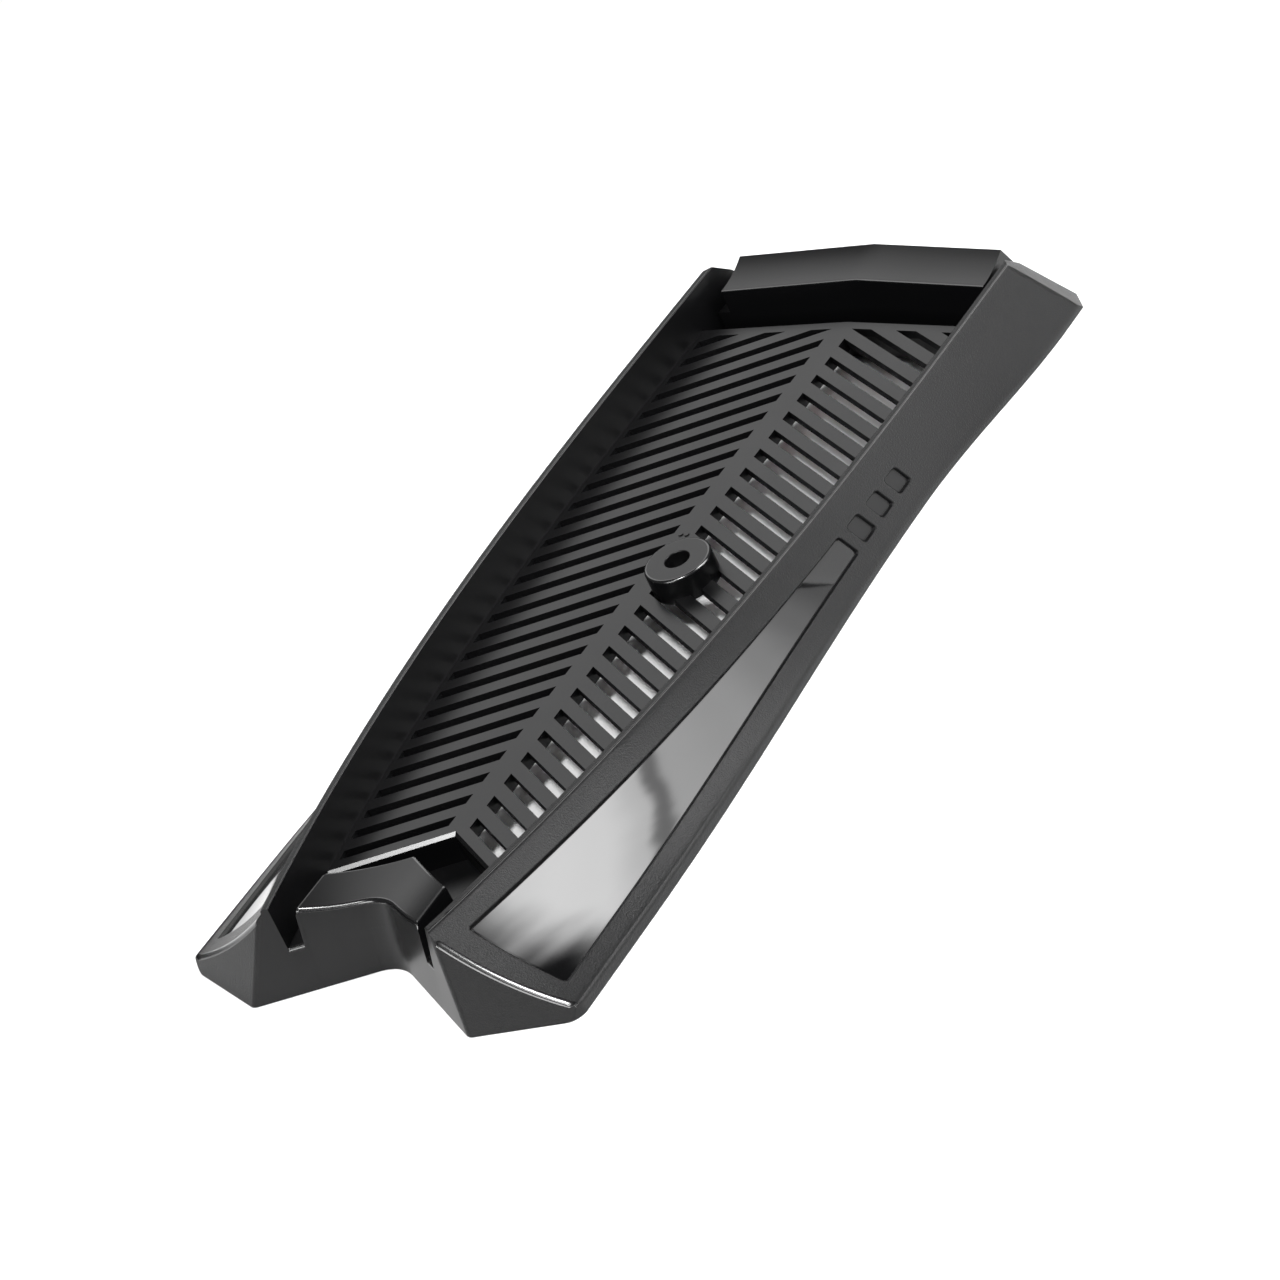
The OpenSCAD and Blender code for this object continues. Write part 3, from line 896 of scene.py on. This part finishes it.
def lathe(name, centre, profile, sides, finish):
    rings = []
    for k in range(sides):
        turn = 2 * math.pi * k / sides
        x, y = math.cos(turn), math.sin(turn)
        rings.append([(centre[0] + r * x, centre[1] + r * y, z) for r, z in profile])
    count = len(profile)
    points = [p for ring in rings for p in ring]
    faces = []
    for r in range(sides):
        n = (r + 1) % sides
        for i in range(count):
            j = (i + 1) % count
            faces.append((r * count + i, r * count + j, n * count + j, n * count + i))
    piece = makeMesh(name, points, faces, finish)
    editMesh(piece, outwards)
    return piece


def makeBoss():
    r, top, soft, bore, edge = boss["radius"], boss["top"], boss["round"], boss["bore"], boss["boreEdge"]
    arc = [(r - soft + soft * math.sin(math.radians(a)), top - soft + soft * math.cos(math.radians(a)))
           for a in range(0, 91, 15)]
    lip = [(bore + edge - edge * math.sin(math.radians(a)), top - edge + edge * math.cos(math.radians(a)))
           for a in (90, 60, 30, 0)]
    profile = [(bore, boss["bottom"])] + lip + arc + [(r, boss["bottom"])]
    piece = lathe("boss", boss["centre"], profile, boss["sides"], smooth)
    rolled = range(1 + len(lip), len(lip) + len(arc))
    for face in piece.data.polygons:
        columns = [v % len(profile) for v in face.vertices]
        if min(columns) in rolled and max(columns) - 1 in rolled:
            face.material_index = radiused
    return piece


def disc(name, centre, reach, lowZ, highZ, sides):
    turns = [2 * math.pi * k / sides for k in range(sides)]
    outline = [(centre[0] + reach * math.cos(turn), centre[1] + reach * math.sin(turn)) for turn in turns]
    return prism(name, outline, lowZ, highZ, smooth)


def mirrorHalf(shape):
    onMiddle, weld = 2e-7, 1e-6  # m
    middle = [f for f in shape.faces if all(abs(v.co.x) < onMiddle for v in f.verts)]
    bmesh.ops.delete(shape, geom=middle, context="FACES")
    for vert in shape.verts:
        if abs(vert.co.x) < onMiddle:
            vert.co.x = 0
    twin = bmesh.ops.duplicate(shape, geom=shape.verts[:] + shape.edges[:] + shape.faces[:])["geom"]
    for vert in (v for v in twin if isinstance(v, bmesh.types.BMVert)):
        vert.co.x = -vert.co.x
    bmesh.ops.reverse_faces(shape, faces=[f for f in twin if isinstance(f, bmesh.types.BMFace)])
    seam = [v for v in shape.verts if v.co.x == 0]
    bmesh.ops.remove_doubles(shape, verts=seam, dist=weld)
    outwards(shape)


def makeStand():
    # the right half first, then its mirror image, then what lies off the middle line
    half = makeWing()
    front, back, nearFacet, farFacet = endPlanes(0)
    for point, normal in [front, back]:
        cutAway(half, point, normal, smooth)
    cuts = [nearFacet, farFacet] + ridgePlanes(front, nearFacet, wing["nearRidge"], 5)
    for point, normal in cuts + ridgePlanes(back, farFacet, wing["farRidge"], 3) + cornerPlanes(9):
        cutAway(half, point, normal, grained)
    editMesh(half, lambda shape: rollFoot(shape, nearFacet[1]))
    farEndWall = makeFarWall()
    cutAway(farEndWall, *farFacet, grained)
    combine(half, [makeNearWall(), farEndWall], "UNION")
    combine(half, [makeHollow(), makeNearHollow(), makeFarHollow()], "DIFFERENCE")
    combine(half, makeUnderparts() + [makeGrille()], "UNION")
    print("half shell", len(half.data.polygons), "faces")
    editMesh(half, mirrorHalf)

    for side in (-1, 1):
        mark = disc("mark", (side * gateMarks["apart"] / 2, gateMarks["y"]), gateMarks["radius"],
                    grille["height"] - 0.5, grille["height"] + gateMarks["height"], 32)
        combine(half, [mark], "UNION")
    # the grille is opened first, a little wider than the bore and narrower than the boss
    opening = disc("bore", boss["centre"], boss["bore"] + 1, 0, boss["top"] - 1, 64)
    combine(half, [opening], "DIFFERENCE")
    combine(half, [makeBoss()], "UNION")
    sliver = 0.004 * mm
    editMesh(half, lambda shape: bmesh.ops.dissolve_degenerate(shape, dist=sliver, edges=shape.edges))
    half.name = "standShell"
    return half


standShell = makeStand()
shadeByAngle(standShell, stand["sharpFrom"])
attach(standShell, "root")
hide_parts("console_stand")
print("stand", len(standShell.data.polygons), "faces")


# Studio

def makeFloor():
    # white paper, set a hair lower than the feet
    bpy.ops.mesh.primitive_plane_add(size=1.4, location=(0, 0, -0.0002))
    floor = bpy.context.object
    floor.name = "floor"
    material, tree = newMaterial("whitePaper")
    lit = addNode(tree, "ShaderNodeBsdfDiffuse", values={"Color": linearColour("#fafafa")})
    addNode(tree, "ShaderNodeOutputMaterial", links={"Surface": lit.outputs["BSDF"]})
    floor.data.materials.append(material)


def addLamp(name, place, aim, size, power):
    data = bpy.data.lights.new(name, "AREA")
    data.shape = "RECTANGLE"
    data.size, data.size_y = size
    data.energy = power
    lamp = bpy.data.objects.new(name, data)
    scene.collection.objects.link(lamp)
    lamp.location = place
    lamp.rotation_mode = "QUATERNION"
    lamp.rotation_quaternion = (Vector(aim) - Vector(place)).to_track_quat("-Z", "Y")


lighting = {
    "world": 0.12,  # strength of the even light all round
    # each lamp: place and aim in m, size in m, power in W
    "overhead": ((0.24, -0.50, 1.22), (0, 0, 0), (0.24, 0.24), 13),
    "backSoftbox": ((-0.85, 0.95, 0.95), (0, 0, 0), (1.5, 1.0), 8),
    "frontFill": ((-0.10, -1.45, 0.62), (0, 0, 0), (0.7, 0.5), 8),
    "borderGlint": ((0.075, -0.77, 0.955), (0, -0.1, 0), (0.22, 0.22), 2.5),
}
card = {
    "size": (0.42, 1.55),  # m
    "place": (0.679, 0.497, 0.475),
    "across": (-0.637, 0.76, -0.125),
    "along": (0.657, 0.454, -0.603),
    "strength": 17.3, "unlit": 0.02,
    # how far along the card, and how bright it is there
    "steps": ((0.0, 0.75), (0.13, 1.0), (0.21, 0.95), (0.288, 0.7), (0.309, 0.2), (0.321, 0.18),
              (0.345, 0.5), (0.51, 0.42), (0.665, 0.30), (0.839, 0.17), (1.0, 0.1)),
    "tilt": 1.15,  # slant of the steps across the card
    "start": (0.095, 0.17, 0.3),  # from, to and slant of the cloud's near edge
    "drift": 0.05,  # how far the cloud's edges wander
}


def makeCard(look):
    # a bounce card whose uneven light shows as a cloud in the polished panel
    across, along = Vector(look["across"]).normalized(), Vector(look["along"]).normalized()
    outward = across.cross(along).normalized()
    along = outward.cross(across)
    halfWide, halfLong = (side / 2 for side in look["size"])
    mesh = bpy.data.meshes.new("card")
    corners = [(-halfWide, -halfLong, 0), (halfWide, -halfLong, 0),
               (halfWide, halfLong, 0), (-halfWide, halfLong, 0)]
    mesh.from_pydata(corners, [], [(0, 1, 2, 3)])
    piece = bpy.data.objects.new("card", mesh)
    scene.collection.objects.link(piece)
    turned = Matrix((across, along, outward)).transposed().to_4x4()
    piece.matrix_world = Matrix.Translation(look["place"]) @ turned
    material, tree = newMaterial("litCard")
    place = addNode(tree, "ShaderNodeTexCoord")
    drift = addNode(tree, "ShaderNodeTexNoise", values={"Scale": 5.0, "Detail": 3.0, "Roughness": 0.5},
                    links={"Vector": place.outputs["Object"]})
    apart = addNode(tree, "ShaderNodeSeparateXYZ", links={"Vector": place.outputs["Object"]})
    # along the card, slanted and wandering a little, to the brightness of the steps
    tilted = addNode(tree, "ShaderNodeMath", {"operation": "MULTIPLY_ADD"})
    tree.links.new(apart.outputs["X"], tilted.inputs[0])
    tilted.inputs[1].default_value = look["tilt"]
    tree.links.new(apart.outputs["Y"], tilted.inputs[2])
    level = addNode(tree, "ShaderNodeMapRange",
                    values={"From Min": -halfLong, "From Max": halfLong,
                            "To Min": -look["drift"] / 2, "To Max": 1 - look["drift"] / 2},
                    links={"Value": tilted.outputs["Value"]})
    wander = addNode(tree, "ShaderNodeMath", {"operation": "MULTIPLY_ADD"})
    tree.links.new(drift.outputs["Fac"], wander.inputs[0])
    wander.inputs[1].default_value = look["drift"]
    tree.links.new(level.outputs["Result"], wander.inputs[2])
    ramp = addNode(tree, "ShaderNodeValToRGB", links={"Fac": wander.outputs["Value"]})
    ramp.color_ramp.interpolation = "EASE"
    stops = ramp.color_ramp.elements
    for k, (at, value) in enumerate(look["steps"]):
        stop = stops[k] if k < 2 else stops.new(at)
        stop.position, stop.color = at, (value, value, value, 1)
    # the near edge of the light fades in on its own, softer slant
    first, full, slantNear = look["start"]
    spread = 3 * look["drift"]
    nearTilt = addNode(tree, "ShaderNodeMath", {"operation": "MULTIPLY_ADD"})
    tree.links.new(apart.outputs["X"], nearTilt.inputs[0])
    nearTilt.inputs[1].default_value = slantNear
    tree.links.new(apart.outputs["Y"], nearTilt.inputs[2])
    drifted = addNode(tree, "ShaderNodeMath", {"operation": "MULTIPLY_ADD"})
    tree.links.new(drift.outputs["Fac"], drifted.inputs[0])
    drifted.inputs[1].default_value = spread
    tree.links.new(nearTilt.outputs["Value"], drifted.inputs[2])
    fade = addNode(tree, "ShaderNodeMapRange", {"interpolation_type": "SMOOTHSTEP"},
                   {"From Min": (first - 0.5) * look["size"][1] + spread / 2,
                    "From Max": (full - 0.5) * look["size"][1] + spread / 2,
                    "To Min": look["unlit"], "To Max": look["strength"]},
                   {"Value": drifted.outputs["Value"]})
    glow = addNode(tree, "ShaderNodeEmission",
                   links={"Color": ramp.outputs["Color"], "Strength": fade.outputs["Result"]})
    addNode(tree, "ShaderNodeOutputMaterial", links={"Surface": glow.outputs["Emission"]})
    mesh.materials.append(material)


def makeWorld(strength):
    # the camera sees white behind the floor, and the stand gets the room's dim light
    world = bpy.data.worlds.new("studio")
    scene.world = world
    world.use_nodes = True
    tree = world.node_tree
    tree.nodes.clear()
    seen = addNode(tree, "ShaderNodeLightPath")
    white = addNode(tree, "ShaderNodeBackground", values={"Color": (1, 1, 1, 1), "Strength": 1.0})
    room = addNode(tree, "ShaderNodeBackground", values={"Color": (1, 1, 1, 1), "Strength": strength})
    both = addNode(tree, "ShaderNodeMixShader", links={"Fac": seen.outputs["Is Camera Ray"]})
    tree.links.new(room.outputs["Background"], both.inputs[1])
    tree.links.new(white.outputs["Background"], both.inputs[2])
    addNode(tree, "ShaderNodeOutputWorld", links={"Surface": both.outputs["Shader"]})


makeFloor()
makeWorld(lighting["world"])
makeCard(card)
for name in ("overhead", "backSoftbox", "frontFill", "borderGlint"):
    addLamp(name, *lighting[name])
scene.view_settings.view_transform = "Standard"
print("studio lit")
